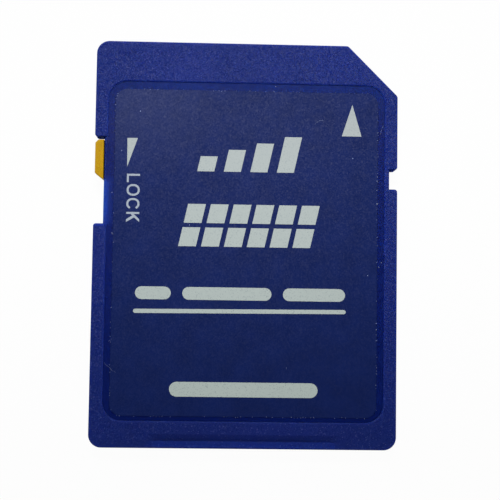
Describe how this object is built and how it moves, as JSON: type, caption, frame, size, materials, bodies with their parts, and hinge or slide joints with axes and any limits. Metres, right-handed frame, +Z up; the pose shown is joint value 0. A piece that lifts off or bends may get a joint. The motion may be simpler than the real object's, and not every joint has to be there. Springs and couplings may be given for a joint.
{
  "type": "memory card",
  "caption": "Flat plastic memory card with a slanted corner, open contact slots on the back, a sunk label field, a catch notch and a sliding write-protect tab in one edge.",
  "frame": {"origin": "middle of the back face, the contact side that the card lies on", "axes": "+Y along the card towards its contact end, +Z up through the label face, +X to the side of the slanted corner and the catch notch"},
  "size_m": [0.024, 0.032, 0.0021],
  "materials": {
    "case_plastic": "fine moulded texture, slightly translucent blue",
    "slider_plastic": "smooth golden yellow moulding",
    "label_film": "satin navy printed film",
    "board_laminate": "satin green solder mask",
    "contact_gold": "thin hard gold plating",
    "chip_mould": "fine matt black moulding",
    "lead_tin": "matt tin plating",
    "capacitor_ceramic": "fired ceramic with tinned ends",
    "resistor_ceramic": "fired ceramic with dark glaze and tinned ends"
  },
  "bodies": {
    "card": {"upper_shell": "case_plastic", "lower_shell": "case_plastic", "label": "label_film", "circuit_board": "board_laminate", "contact_1": "contact_gold", "contact_2": "contact_gold", "contact_3": "contact_gold", "contact_4": "contact_gold", "contact_5": "contact_gold", "contact_6": "contact_gold", "contact_7": "contact_gold", "contact_8": "contact_gold", "contact_9": "contact_gold", "memory_chip": "chip_mould", "memory_chip_leads": "lead_tin", "controller_chip": "chip_mould", "controller_chip_leads": "lead_tin", "capacitors": "capacitor_ceramic", "resistors": "resistor_ceramic"},
    "slider": {"lock_slider": "slider_plastic"}
  },
  "joints": [
    {"name": "lock_slide", "type": "slide", "parent": "card", "child": "slider", "axis": [0, -1, 0], "range_m": [0, 0.0033]}
  ]
}
